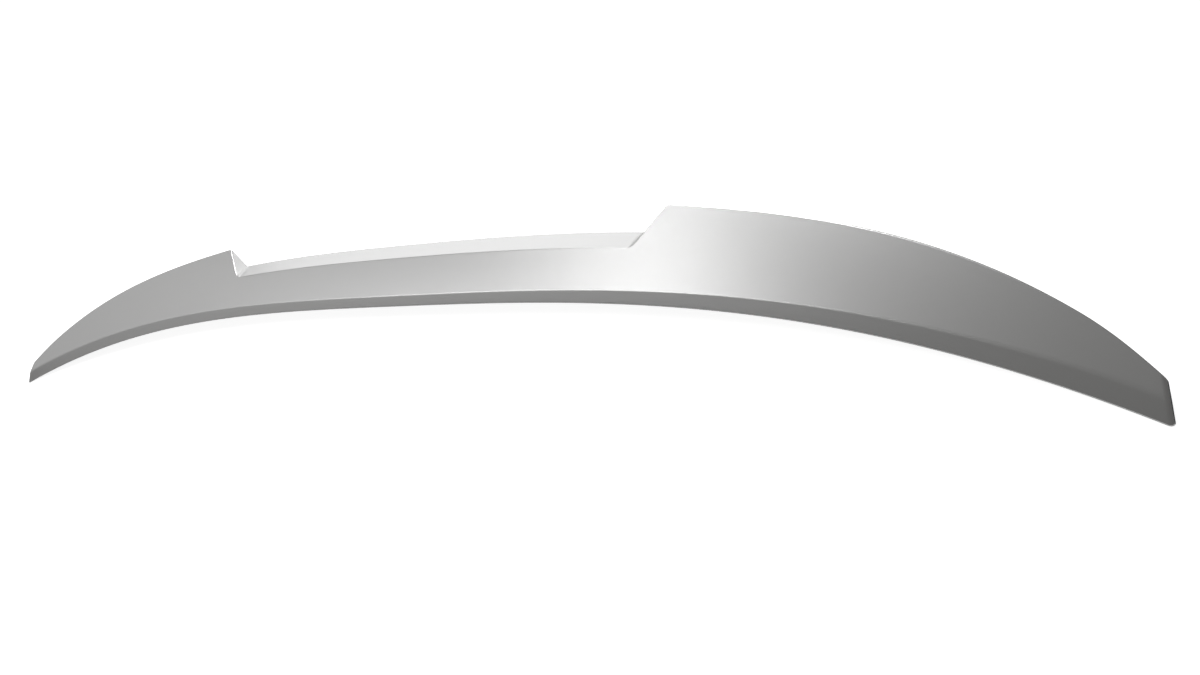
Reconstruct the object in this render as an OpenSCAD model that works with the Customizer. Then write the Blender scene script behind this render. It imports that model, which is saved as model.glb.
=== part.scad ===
// Rear spoiler that is bonded to the back edge of a car's boot lid.
// A hollow moulding with two raised wings, a cut-down middle and a bevelled front edge.
// The origin is the middle of the front edge, on the boot lid: +X right, +Y rearward, +Z up.
// Sizes are in millimetres and angles in degrees.

/* [Outline] */
// Overall width from tip to tip
width = 1180; // [1120:5:1240]
// How far the tips sweep forward of the middle of the front edge
tip_sweep = 84; // [70:1:96]
// How far the tips drop below the middle, down the crown of the boot lid
tip_drop = 16; // [8:1:28]
// Power of the sweep's curve, where more is straighter in the middle
sweep_power = 2.9; // [2.6:0.1:3.4]
// Power of the drop's curve, where more keeps the drop nearer the tips
drop_power = 4; // [3:0.1:5]
// Radius of the front corners at the tips, seen from above
tip_r = 3; // [2:0.5:4]
// Radius of the rear corners at the tips, seen from above
rear_tip_r = 3; // [2:0.5:5]
// Angle by which the ends at the tips lean inward to the rear, seen from above
end_angle = 9; // [0:1:12]
// Fall of the top at the rounded tips, as a share of the front radius
tip_fall = 0.5; // [0:0.1:0.6]

/* [Front edge and bevel] */
// Height of the blunt front edge
edge_h = 0.8; // [0.6:0.1:1.2]
// Width of the front bevel in the middle
bevel_w = 8.8; // [7:0.2:10]
// Width of the front bevel at the tips
bevel_tip_w = 13.2; // [10:0.2:15]
// Angle of the front bevel above the boot lid
bevel_angle = 35; // [31:1:40]

/* [Main face] */
// Slope of the main face above the boot lid
face_slope = 20; // [17:0.5:23]
// Length of the main face up to the peak of a wing
peak_face = 67.3; // [61:0.1:70]
// Length of the main face at the tips
tip_face = 11.2; // [9:0.1:14]
// Share of the shortening from peak to tip that is even along the wing
even_share = 0.37; // [0.2:0.01:0.6]
// Power of the rest of the shortening, where more keeps it nearer the tip
face_power = 4; // [3:0.1:5]

/* [Notch] */
// Width of the notch between the feet of its two steps
notch_w = 484; // [440:2:500]
// Width of each step, from its foot in the notch to its peak
step_w = 25.3; // [20:0.1:36]
// Length of the main face up to the ridge, on the centre line
notch_face = 35.5; // [33:0.5:38]
// Length of the main face up to the ridge, beside a step
notch_side_face = 32.7; // [31:0.1:35]
// Width of the shelf behind the ridge
shelf_w = 19.1; // [15:0.1:20]
// Angle by which the shelf falls to the rear
shelf_fall = 8.5; // [2:0.5:10]
// How much farther out the foot of each step lies at the rear of the shelf
foot_flare = 2.4; // [0:0.1:4]

/* [Rear face] */
// Thickness of a wing's blunt lip at its peak
lip_t = 2.4; // [2.2:0.1:3]
// How far a wing's lip overhangs the rear wall at its peak
lip_overhang = 11.5; // [9:0.5:14]
// Height of the undercut under a wing's lip at its peak
lip_h = 13.5; // [11:0.5:16]
// Overhang of the lip at the tips
tip_overhang = 2; // [1:0.5:3]
// Height of the undercut at the tips
tip_lip_h = 4; // [3:0.5:6]
// How far the foot of the rear wall stands forward of its top
rear_rake = 1; // [0:0.5:2]

/* [Softened edges] */
// Set-back of the soft crease between bevel and main face
crease_soft = 0.8; // [0.5:0.1:3]
// Set-back of the rounded ridge and lip
lip_soft = 1.3; // [0.8:0.1:1.4]
// Set-back of the rounded rear edge of the shelf and the lip
back_soft = 0.7; // [0.4:0.1:0.7]
// Set-back of the soft knee under the lip
knee_soft = 3; // [2:0.5:4]
// Lip thickness and softening at the tips, as a share of that at the peaks
tip_soft = 0.4; // [0.3:0.05:0.6]

/* [Hollow underside] */
// Thickness of the skin and of the rear wall's top
wall = 3; // [2.4:0.2:3.6]
// Width of the front land that is bonded to the boot lid
front_land = 13; // [12:0.5:15]
// Width of the rear land that is bonded to the boot lid
rear_land = 9; // [8.5:0.5:10.5]
// Draft angle of the hollow's front wall
draft = 4; // [1:1:8]
// Solid length left at each tip
solid_tip = 44; // [36:1:60]
// Number of cross ribs, spaced evenly along the hollow
cross_ribs = 17; // [11:2:21]
// Thickness of the ribs
rib_t = 2; // [1.6:0.2:2.6]
// Draft on each side of the ribs and at the ends of the hollow and the channels
rib_draft = 0.3; // [0.2:0.1:0.5]
// Gap between the cross ribs' lower edges and the boot lid
rib_gap = 3; // [2:0.5:4]
// Gap between the middle rib's lower edge and the boot lid
mid_rib_gap = 4.5; // [4:0.5:5.5]

/* [Bonding tape] */
// Thickness of the foam tape
tape_t = 1.1; // [0.9:0.1:1.4]
// Depth of the shallow channels that the tape lies in
channel_d = 0.8; // [0.5:0.1:0.8]
// Width of the rim that hides the tape from outside
rim = 1.5; // [1.2:0.1:2]
// Clearance on each side of the tape in its channel
tape_gap = 0.4; // [0.2:0.1:0.6]
// Width of the front tape
front_tape_w = 10; // [8:0.5:10]
// Width of the rear tape
rear_tape_w = 6; // [5:0.5:6]
// Length of tip that the tape stops short of
tape_stop = 26; // [20:1:34]

/* [Hidden] */

half = width / 2;
notch_x = notch_w / 2;
peak_x = notch_x + step_w;
back_x = notch_x + foot_flare;
hollow_x = half - solid_tip;
tape_x = half - tape_stop;
// Steps of each stretch between its ends
notch_steps = 14;
step_steps = 4;
wing_steps = 18;
tip_steps = 6;
// Steps of each softened corner
corner_steps = 3;
// How far down the notch's straight rear wall the knee lies, as a share of its height
knee_share = 0.4;
// Points of the hollow's outline in one cross-section, and of the whole underside's
hollow_points = 7;
underside_points = hollow_points + 6;
// Places closer together than this are taken as one
same = 0.5;

// Values part of the way from a to b
function mix(a, b, t) = a + (b - a) * t;
function clamp(t) = min(1, max(0, t));
function unit(v) = v / norm(v);
function reversed(v) = [for (i = [len(v) - 1:-1:0]) v[i]];
// How far along a half the place x lies, from 0 on the centre line to 1 at the tip
function along(x) = abs(x) / half;
// How far down a wing the place x lies, from 0 at its peak to 1 at its tip
function down_wing(x) = clamp((abs(x) - peak_x) / (half - peak_x));
// How far up a step the place x lies, from 0 at the ridge to 1 at the peak
function up_step(x) = clamp((abs(x) - notch_x) / (peak_x - notch_x));

// Points of a cross-section are [y, z], on the plane of the place x.
// How far a rounded corner of radius r draws the outline in at the place x
function corner_in(x, r) = let (d = abs(x) - (half - r))
    d <= 0 ? 0 : r - sqrt(max(0, r * r - d * d));
function tip_in(x) = corner_in(x, tip_r);
// The front edge, before the corners at the tips are rounded
function edge_line(x) = -[tip_sweep * pow(along(x), sweep_power), tip_drop * pow(along(x), drop_power)];
function front(x) = edge_line(x) + [tip_in(x), 0];
// How far the leaning ends draw a point in, along the width, at the places x and y
function lean_in(x, y) = sign(x) * tan(end_angle) * (y - front(x)[0])
    * pow(clamp((abs(x) - hollow_x) / (half - hollow_x)), 2);
function face_dir() = [cos(face_slope), sin(face_slope)];
function crease(x) = edge_line(x) + [0, edge_h - tip_fall * tip_in(x)]
    + mix(bevel_w, bevel_tip_w, pow(along(x), 2)) * [cos(bevel_angle), sin(bevel_angle)];
function ridge(x) = crease(x) + face_dir()
    * mix(notch_face, notch_side_face, pow(abs(x) / notch_x, 2));
function lip(x) = crease(x) + face_dir()
    * (mix(peak_face, tip_face, mix(pow(down_wing(x), face_power), down_wing(x), even_share))
        - corner_in(x, rear_tip_r));
// Top edge of the main face: the ridge, then a straight step, then the wing's lip
function top(x) = abs(x) <= notch_x ? ridge(x)
    : abs(x) >= peak_x ? lip(x)
    : mix(ridge(notch_x), lip(peak_x), up_step(x));
// Rear edge of the shelf
function shelf_end(x) = let (n = min(abs(x), notch_x))
    ridge(n) - edge_line(n) + edge_line(x) + shelf_w * [cos(shelf_fall), -sin(shelf_fall)];
// Rear edge of the blunt lip, square to the main face
function lip_back(x) = lip(x) + lip_t * softness(x) * inward(face_dir());
// Rear edge of the top: the shelf's, then a straight one up the flank of the step, then the lip's
function back(x) = abs(x) <= back_x ? shelf_end(x)
    : abs(x) >= peak_x ? lip_back(x)
    : mix(shelf_end(back_x), lip_back(peak_x), (abs(x) - back_x) / (peak_x - back_x));
// Where the undercut below a wing's lip meets the rear wall
function undercut_end(x) = lip(x)
    - mix([lip_overhang, lip_h], [tip_overhang, tip_lip_h], down_wing(x));
// Line below which the moulding is hollow, from the shelf's rear edge to the undercut's end
function hollow_back(x) = mix(shelf_end(x), undercut_end(x), up_step(x));
function rear_foot(x) = [hollow_back(x)[0] - rear_rake, edge_line(x)[1]];
function knee(x) = mix(mix(shelf_end(x), rear_foot(x), knee_share), undercut_end(x), up_step(x));

// How much of its thickness and softening the lip has at the place x
function softness(x) = mix(1, tip_soft, down_wing(x));
// A corner b softened by a curve that starts and ends a set-back away from it
function soft(a, b, c, set_back) = let (
    p = b + set_back * unit(a - b),
    q = b + set_back * unit(c - b))
    [for (i = [0:corner_steps]) let (t = i / corner_steps) mix(mix(p, b, t), mix(b, q, t), t)];
// Outside of the cross-section, from the front edge over the top to the rear foot
function outside(x) = concat(
    [front(x), front(x) + [0, edge_h]],
    soft(front(x) + [0, edge_h], crease(x), top(x), crease_soft),
    soft(crease(x), top(x), back(x), lip_soft * softness(x)),
    soft(top(x), back(x), knee(x), back_soft * softness(x)),
    soft(back(x), knee(x), rear_foot(x), knee_soft * softness(x)),
    [rear_foot(x)]);

// Where two lines through p and q meet, along u and v
function meet(p, u, q, v) = let (w = q - p) p + u * cross(w, v) / cross(u, v);
// The normal that points to the right of a direction, into the section
function inward(u) = [u[1], -u[0]];
// The corner b of the skin's inner side, one wall in from the outer side
function inner(a, b, c) = let (u = unit(b - a), v = unit(c - b))
    meet(b + wall * inward(u), u, b + wall * inward(v), v);
// The hollow's roof, above the place y across the section
function roof(x, y) = meet([y, 0], [0, 1], crease(x) + wall * inward(face_dir()), face_dir());

// Inner edges of the two lands
function front_land_y(x) = edge_line(x)[0] + front_land;
function rear_land_y(x) = rear_foot(x)[0] - rear_land;
// The hollow's outline from the rear land to the front land, down and up round the middle rib
function hollow(x) = let (
    z = edge_line(x)[1],
    y = (front_land_y(x) + rear_land_y(x)) / 2,
    root = rib_t / 2 + rib_draft)
    [inner(top(x), hollow_back(x), rear_foot(x)),
     inner(crease(x), top(x), hollow_back(x)),
     roof(x, y + root),
     [y + rib_t / 2, z + mid_rib_gap],
     [y - rib_t / 2, z + mid_rib_gap],
     roof(x, y - root),
     meet([front_land_y(x), z], [sin(draft), cos(draft)], roof(x, 0), face_dir())];
// The same stretch where a rib or a solid tip fills the hollow, at a height h above the boot lid
function filled(x, h) = let (n = hollow_points + 1)
    [for (i = [1:hollow_points])
        [mix(rear_land_y(x), front_land_y(x), i / n), edge_line(x)[1] + h]];
// Inner side of a rim, which leans by the draft, with d = 1 at the front and -1 at the rear
function rim_points(edge_y, z, d) =
    [[edge_y + d * rim, z], [edge_y + d * (rim + rib_draft), z + channel_d]];

// Places of the cross ribs
rib_places = [for (i = [1:cross_ribs]) mix(-hollow_x, hollow_x, i / (cross_ribs + 1))];
function in_rib(x) = len([for (r = rib_places) if (abs(x - r) < (rib_t + rib_draft) / 2) r]) > 0;
// Underside of the cross-section, from the rear foot back to the front edge
function underside(x) = abs(x) > tape_x
    ? [for (i = [1:underside_points]) mix(rear_foot(x), front(x), i / (underside_points + 1))]
    : let (z = edge_line(x)[1])
    concat(
        rim_points(rear_foot(x)[0], z, -1),
        [[rear_land_y(x), z + channel_d]],
        abs(x) >= hollow_x ? filled(x, channel_d) : in_rib(x) ? filled(x, rib_gap) : hollow(x),
        [[front_land_y(x), z + channel_d]],
        reversed(rim_points(edge_line(x)[0], z, 1)));

// Places of the cross-sections, in order along the width
function sorted(v) = len(v) < 2 ? v : let (p = v[floor(len(v) / 2)])
    concat(sorted([for (x = v) if (x < p) x]), [p], sorted([for (x = v) if (x > p) x]));
function steps(a, b, n) = [for (i = [0:n - 1]) mix(a, b, i / n)];
function both_ways(v) = concat([for (x = v) if (x > 0) -x], v);
// Both sides of each rib and of each end of the hollow and of the channels
wall_places = concat(
    [for (r = rib_places) for (d = [-1, 1]) for (w = [rib_t / 2, rib_t / 2 + rib_draft]) r + d * w],
    both_ways([hollow_x - rib_draft, hollow_x, tape_x, tape_x + rib_draft]));
shape_places = both_ways(concat(
    steps(0, notch_x, notch_steps),
    [notch_x],
    steps(back_x, peak_x, step_steps),
    steps(peak_x, half - rear_tip_r, wing_steps),
    [for (i = [0:tip_steps]) half - rear_tip_r + rear_tip_r * sin(90 * i / tip_steps)]));
function apart(x, v) = min([for (w = v) abs(x - w)]) > same;
places = sorted(concat(wall_places, [for (x = shape_places) if (apart(x, wall_places)) x]));
tape_end = tape_x - tape_gap;
tape_places = concat([-tape_end], [for (x = places) if (abs(x) < tape_end - same) x], [tape_end]);

// The mean of a list of points
function middle(v) = [for (p = v) 1] * v / len(v);

// A point of the cross-section at the place x, in space
function placed(x, p) = [x - lean_in(x, p[0]), p[0], p[1]];
// A solid through cross-sections that have the same number of points
module loft(at, sections) {
    m = len(sections[0]);
    n = len(sections);
    last = n - 1;
    polyhedron(
        points = concat(
            [for (i = [0:last]) for (p = sections[i]) placed(at[i], p)],
            [for (i = [0, last]) placed(at[i], middle(sections[i]))]),
        faces = concat(
            [for (j = [0:m - 1]) [n * m, (j + 1) % m, j]],
            [for (j = [0:m - 1]) [n * m + 1, last * m + j, last * m + (j + 1) % m]],
            [for (i = [0:last - 1]) for (j = [0:m - 1]) let (k = (j + 1) % m)
                [i * m + j, i * m + k, (i + 1) * m + k, (i + 1) * m + j]]),
        convexity = 10);
}

// The moulding in one loft, whose cross-sections are open to the boot lid between the ribs
module spoiler_body() {
    color([0.72, 0.72, 0.73])
    loft(places, [for (x = places) concat(outside(x), underside(x))]);
}

// A strip of tape from y to y + w, against the roof of its channel
function tape(x, y, w) = let (top_z = edge_line(x)[1] + channel_d)
    [[y, top_z - tape_t], [y, top_z], [y + w, top_z], [y + w, top_z - tape_t]];

// Foam tape in the front channel, its sticky face just proud of the rim
module front_tape() {
    inset = rim + rib_draft + tape_gap;
    color([0.2, 0.2, 0.21])
    loft(tape_places, [for (x = tape_places) tape(x, edge_line(x)[0] + inset, front_tape_w)]);
}

// Foam tape in the rear channel
module rear_tape() {
    inset = rim + rib_draft + tape_gap + rear_tape_w;
    color([0.2, 0.2, 0.21])
    loft(tape_places, [for (x = tape_places) tape(x, rear_foot(x)[0] - inset, rear_tape_w)]);
}

spoiler_body();
front_tape();
rear_tape();
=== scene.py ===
"""Looks of a rear spoiler for a car's boot lid.

A painted moulding with two raised wings and a cut-down middle, its ribbed underside, two strips
of foam tape and a plain studio. All places are in metres: +X right, +Y rearward, +Z up, from the
middle of the front edge on the boot lid.
"""

import math

import bpy
from bpy.props import FloatProperty, FloatVectorProperty, IntProperty, PointerProperty
from bpy.types import Operator, Panel, PropertyGroup
from mathutils import Matrix, Vector


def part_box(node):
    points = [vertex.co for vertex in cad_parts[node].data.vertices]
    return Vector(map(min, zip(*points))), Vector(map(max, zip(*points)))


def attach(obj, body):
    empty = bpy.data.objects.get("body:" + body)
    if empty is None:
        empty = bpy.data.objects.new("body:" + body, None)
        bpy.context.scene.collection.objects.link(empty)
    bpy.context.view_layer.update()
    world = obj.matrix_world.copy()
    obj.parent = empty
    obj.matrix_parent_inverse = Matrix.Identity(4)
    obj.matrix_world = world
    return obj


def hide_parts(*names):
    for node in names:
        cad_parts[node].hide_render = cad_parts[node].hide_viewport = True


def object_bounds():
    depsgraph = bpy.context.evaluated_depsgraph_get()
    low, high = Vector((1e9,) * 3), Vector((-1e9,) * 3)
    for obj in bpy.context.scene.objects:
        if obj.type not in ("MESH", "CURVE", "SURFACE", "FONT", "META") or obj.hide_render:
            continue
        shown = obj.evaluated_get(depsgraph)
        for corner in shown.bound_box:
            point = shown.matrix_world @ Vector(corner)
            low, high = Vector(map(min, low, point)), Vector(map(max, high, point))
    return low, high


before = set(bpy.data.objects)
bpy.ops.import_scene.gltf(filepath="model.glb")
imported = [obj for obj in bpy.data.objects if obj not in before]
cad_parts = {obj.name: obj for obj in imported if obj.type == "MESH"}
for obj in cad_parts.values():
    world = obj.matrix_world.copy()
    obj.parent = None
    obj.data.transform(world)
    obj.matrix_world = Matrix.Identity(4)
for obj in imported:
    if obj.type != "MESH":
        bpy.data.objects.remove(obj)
CAD_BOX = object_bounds()
BODY_LOW, BODY_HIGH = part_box("spoiler_body")

bl_info = {
    "name": "Boot Lid Spoiler",
    "version": (1, 0, 0),
    "blender": (4, 5, 0),
    "location": "View3D > Sidebar > Spoiler",
    "description": "Builds a painted boot-lid spoiler with its ribbed underside, tape and studio",
    "category": "Add Mesh",
}

# Paint cover per point: zero in the hollow is the real bare underside; zero low on the front edge
# and round the end faces is painted shade
COVER_WITH_SHADE = "paint_cover"

# Turns of more degrees than this stay crisp in the shading
CRISP_ABOVE = 32
# Inputs and output of a Mix node that mixes two colours
MIX_FACTOR, MIX_A, MIX_B, MIX_RESULT = 0, 6, 7, 2

# Set-backs of the roundings in the hollow: on the skin, at a rib's root and on a rib's edge
SKIN_SOFT, ROOT_SOFT, RIB_SOFT = 0.001, 0.0006, 0.0004
TAPE_SOFT = 0.0001
# Width of the narrow strip that keeps a flat's shading flat beside a rounding, and the largest
# share of the flat that it may take
GUARD_W, GUARD_SHARE = 0.0004, 0.2
# Points of the underside's cross-section beside those of the hollow
RIM_POINTS = 6

# Spacing of the cross-sections in the notch, at a step's foot, up it, at its peak, down a wing
# and before a tip, the number of them round a tip, and how near one may lie to a wall's end
NOTCH_PITCH, FOOT_PITCH, STEP_PITCH, PEAK_PITCH, WING_PITCH, TIP_PITCH = (
    0.006, 0.0005, 0.0012, 0.0003, 0.005, 0.0004)
TIP_TURNS = 18
WALL_SPACE = 0.0004
TAPE_END_SPACE = 0.0005

# How far above a rib's lower edge its rays start, how far they reach, and the share of the rib's
# length at each end that takes its height from farther in
PROBE_RISE, RAY_REACH, END_SHARE = 0.0003, 0.3, 0.02

# Where the paint ends: the share of the front edge's dark band, which is painted shade where the
# edge meets the floor, that is quite dark, how fast the paint fades below a tip, and how much of it
# lies on the rear rim elsewhere
FULL_SHADE_SHARE = 0.9
SPRAY_FADE = 6
SPRAY_BORDER = [0.75, 0.2]

# The studio: gap below the part, colour and glow of the floor, and colour of the surroundings
FLOOR_GAP = 0.0002
FLOOR_COLOUR = (0.6, 0.6, 0.6, 1)
FLOOR_GLOW = 0.9
SKY_COLOUR = (1, 0.99, 0.965, 1)

# Sensor width and lens in millimetres, the directions to the camera's right, top and back, and
# its place
CAMERA_SENSOR = 36.0
CAMERA_LENS = 30.0
CAMERA_AXES = (
    (0.80487, 0.36409, -0.46863), (0.00896, 0.78213, 0.62305), (0.59338, -0.50567, 0.62625))
CAMERA_PLACE = (0.65277, -0.39245, 0.44042)

# Name, turn from +X and rise above the floor in degrees, width and height in metres, and watts
SOFT_LIGHTS = (
    ("high_key_light", 121.8, 56.3, 0.36, 0.40, 18.1),
    ("left_fill_light", 181.4, 26.1, 1.16, 1.38, 2.5),
    ("rear_strip_light", 123.0, 22.7, 2.19, 0.76, 10.7),
    ("left_key_light", -170.6, 48.8, 0.40, 0.76, 3.2),
    ("overhead_strip_light", 180.0, 60.4, 1.16, 0.12, 5.0),
    ("rear_key_light", 90.9, 44.0, 0.81, 0.90, 3.8),
)


def length(name, description, default, low, high):
    """A length that the user may change, in metres."""
    return FloatProperty(
        name=name, description=description, default=default, min=low, max=high,
        unit="LENGTH", subtype="DISTANCE", precision=5,
    )


def angle(name, description, degrees, low, high):
    """An angle that the user may change."""
    return FloatProperty(
        name=name, description=description, default=math.radians(degrees),
        min=math.radians(low), max=math.radians(high), subtype="ANGLE",
    )


def number(name, description, default, low, high):
    """A plain number that the user may change."""
    return FloatProperty(name=name, description=description, default=default, min=low, max=high)


def colour(name, description, default):
    """A colour that the user may change."""
    return FloatVectorProperty(
        name=name, description=description, default=default, size=3, min=0, max=1, subtype="COLOR",
    )


class SpoilerOutline(PropertyGroup):
    """Outline of the moulding, seen from above and from the front."""

    width: length(
        "Width", "Overall width from tip to tip", BODY_HIGH[0] - BODY_LOW[0], 1.1, 1.3)
    tip_sweep: length(
        "Tip sweep", "How far the tips sweep forward of the middle", 0.084, 0.06, 0.1)
    tip_drop: length("Tip drop", "How far the tips drop below the middle", 0.016, 0.0, 0.03)
    sweep_power: number("Sweep power", "Power of the sweep's curve", 2.9, 2.0, 4.0)
    drop_power: number("Drop power", "Power of the drop's curve", 4.0, 2.0, 6.0)
    tip_r: length("Front tip radius", "Radius of the tips' front corners", 0.0033, 0.001, 0.01)
    rear_tip_r: length("Rear tip radius", "Radius of the tips' rear corners", 0.0008, 0.0005, 0.02)
    end_angle: angle("End angle", "How far the tips' ends lean inward to the rear", 10.5, 0, 20)
    tip_fall: number("Tip fall", "Fall of the top at the tips, as a share of the radius", 0.5, 0, 1)


class SpoilerSection(PropertyGroup):
    """Cross-section of the moulding over its whole width."""

    edge_h: length("Edge height", "Height of the blunt front edge", 0.0008, 0.0004, 0.002)
    bevel_w: length("Bevel width", "Width of the bevel in the middle", 0.0088, 0.005, 0.015)
    bevel_tip_w: length("Bevel width at tips", "Width of the bevel at the tips",
                        0.0132, 0.005, 0.02)
    bevel_angle: angle("Bevel angle", "Angle of the bevel above the boot lid", 35, 20, 60)
    face_slope: angle("Face slope", "Slope of the main face above the boot lid", 20, 10, 30)
    peak_face: length("Face at peaks", "Length of the main face at the peaks", 0.0673, 0.05, 0.08)
    tip_face: length("Face at tips", "Length of the main face at the tips", 0.0112, 0.005, 0.03)
    even_share: number("Even share", "Even share of the face's shortening down a wing", 0.37, 0, 1)
    face_power: number("Face power", "Power of the rest of that shortening", 4.0, 1, 6)
    notch_w: length("Notch width", "Width between the feet of the two steps", 0.484, 0.4, 0.52)
    step_w: length("Step width", "Width of a step from its foot to its peak", 0.0253, 0.01, 0.05)
    notch_face: length("Face in notch", "Length of the face on the centre line", 0.0355, 0.03, 0.05)
    notch_side_face: length("Face by a step", "Length of the face by a step", 0.0327, 0.03, 0.05)
    shelf_w: length("Shelf width", "Width of the shelf behind the ridge", 0.0191, 0.01, 0.03)
    shelf_fall: angle("Shelf fall", "Angle by which the shelf falls to the rear", 8.5, 0, 15)
    foot_flare: length("Foot flare", "How much farther out a step's foot lies at the rear",
                       0.0024, 0, 0.01)
    lip_t: length("Lip thickness", "Thickness of the blunt lip at a peak", 0.0024, 0.001, 0.005)
    lip_overhang: length("Lip overhang", "Overhang of the lip at a peak", 0.0115, 0.0, 0.02)
    lip_h: length("Undercut height", "Height of the undercut at a peak", 0.0135, 0.005, 0.02)
    tip_overhang: length("Tip overhang", "Overhang of the lip at the tips", 0.002, 0.0, 0.01)
    tip_lip_h: length("Tip undercut", "Height of the undercut at the tips", 0.004, 0.002, 0.01)
    rear_rake: length("Rear rake", "How far the rear wall's foot stands forward", 0.001, 0.0, 0.005)
    knee_share: number("Knee share", "How far down the notch's rear wall its knee lies",
                       0.4, 0.1, 0.9)


class SpoilerEdges(PropertyGroup):
    """Softness of the moulding's edges, as the set-back of each rounding from its corner."""

    front_soft: length("Front edge", "Set-back of the front edge's rounding",
                       0.00035, 0.0001, 0.001)
    crease_soft: length("Crease", "Set-back of the crease above the bevel", 0.0006, 0.0003, 0.004)
    crease_tip_soft: length("Crease at tips", "Set-back of the crease at the tips",
                            0.0022, 0.0003, 0.004)
    lip_soft: length("Lip", "Set-back of the rounding of a wing's lip", 0.0016, 0.0005, 0.004)
    peak_soft: length("Lip at peaks", "Set-back of the lip's rounding at a peak",
                      0.0012, 0.0003, 0.004)
    ridge_soft: length("Ridge", "Set-back of the ridge's rounding in the notch",
                       0.0007, 0.0003, 0.004)
    back_soft: length("Rear edge", "Set-back of the shelf's rear edge", 0.0007, 0.0003, 0.004)
    knee_soft: length("Knee", "Set-back of the rear wall's top", 0.003, 0.0005, 0.004)
    foot_soft: length("Rear foot", "Set-back of the rear wall's foot", 0.0006, 0.0001, 0.002)
    tip_soft: number("Softness at tips", "Lip and knee softening left at the tips", 0.8, 0.1, 1)
    step_foot: length("Step foot", "Half length of the fillet at a step's foot",
                      0.0045, 0.0005, 0.01)
    flank_foot: length("Flank foot", "Half length of the fillet at the shelf's rear corner",
                       0.0006, 0.0005, 0.01)
    # Bare edge: a band of dark bare plastic low on the front edge, painted shade where the edge
    # meets the floor
    painted_shade_edge: length("Bare edge", "Height of the front edge that the paint misses",
                      0.0004, 0.0, 0.002)
    # Bare end: dark bare plastic round the end faces, painted shade at the tips' ends
    painted_shade_end: length("Bare end", "Width of the end faces' rim that the paint misses",
                     0.00028, 0.0001, 0.003)
    step_peak: length("Step peak", "Half length of the rounding at a peak", 0.0023, 0.0003, 0.01)


class SpoilerUnderside(PropertyGroup):
    """Hollow underside, its ribs and its foam tape."""

    wall: length("Wall", "Thickness of the skin", 0.003, 0.002, 0.005)
    front_land: length("Front land", "Width of the front bonding land", 0.013, 0.01, 0.02)
    rear_land: length("Rear land", "Width of the rear bonding land", 0.009, 0.006, 0.015)
    draft: angle("Draft", "Draft of the hollow's front wall", 4, 0, 10)
    solid_tip: length("Solid tip", "Solid length left at each tip", 0.044, 0.03, 0.08)
    rib_count: IntProperty(
        name="Cross ribs", description="Number of cross ribs", default=17, min=3, max=31)
    rib_t: length("Rib thickness", "Thickness of the ribs at their lower edge", 0.002, 0.001, 0.004)
    rib_draft: length("Rib draft", "Draft on each side of a rib", 0.0003, 0.0, 0.001)
    rib_gap: length("Cross rib gap", "Gap under the cross ribs", 0.003, 0.001, 0.006)
    mid_rib_gap: length("Middle rib gap", "Gap under the middle rib", 0.0045, 0.001, 0.008)
    tape_t: length("Tape thickness", "Thickness of the foam tape", 0.0011, 0.0005, 0.002)
    channel_d: length("Channel depth", "Depth of the tape's channels", 0.0008, 0.0003, 0.001)
    rim: length("Rim", "Width of the rim beside the tape", 0.0015, 0.001, 0.003)
    tape_gap: length("Tape clearance", "Clearance beside the tape", 0.0004, 0.0001, 0.001)
    front_tape_w: length("Front tape", "Width of the front tape", 0.010, 0.005, 0.012)
    rear_tape_w: length("Rear tape", "Width of the rear tape", 0.006, 0.004, 0.008)
    tape_stop: length("Tape stop", "Length of tip that the tape stops short of", 0.026, 0.01, 0.05)


class SpoilerFinish(PropertyGroup):
    """Colours and gloss of the paint, the bare plastic and the foam."""

    paint: colour("Paint", "Silver-grey paint", (0.44, 0.44, 0.44))
    paint_metal: number("Flake share", "Metal look of the paint", 0.80, 0, 1)
    paint_rough: number("Paint roughness", "Roughness of the satin paint", 0.303, 0.05, 1)
    plastic: colour("Plastic", "Bare plastic of the underside", (0.035, 0.035, 0.038))
    foam: colour("Foam", "Dark grey foam tape", (0.05, 0.05, 0.055))


class SpoilerStudio(PropertyGroup):
    """Floor, lights and camera."""

    floor_w: length("Floor", "Width of the floor", 14.0, 5.0, 40.0)
    world: number("World", "Brightness of the soft surroundings", 0.202, 0, 2)
    level: number("Light level", "Power of the soft lights, as a share of the plan", 1.0, 0, 10)
    reach: length("Light distance", "Distance of the soft lights from the part", 2.0, 1.0, 10.0)


def mix(a, b, t):
    """A value part of the way from a to b."""
    return a + (b - a) * t


def clamp(t):
    """t held between 0 and 1."""
    return min(1.0, max(0.0, t))


def heading(a):
    """A unit direction in a cross-section, at an angle above the boot lid."""
    return Vector((math.cos(a), math.sin(a)))


def meet(p, u, q, v):
    """Where the line through p along u meets the line through q along v."""
    w = q - p
    return p + u * (w.cross(v) / u.cross(v))


def inward(u):
    """The normal to the right of a direction, which points into the section."""
    return Vector((u.y, -u.x))


def soft(a, b, c, set_back, steps):
    """The corner b rounded from a set-back before it to a set-back after it."""
    p = b + set_back * (a - b).normalized()
    q = b + set_back * (c - b).normalized()
    points = []
    for i in range(steps + 1):
        t = i / steps
        points.append(mix(mix(p, b, t), mix(b, q, t), t))
    return points


def between(a, b, steps):
    """Points that split the line from a to b, with its ends left out."""
    return [mix(a, b, i / steps) for i in range(1, steps)]


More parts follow.
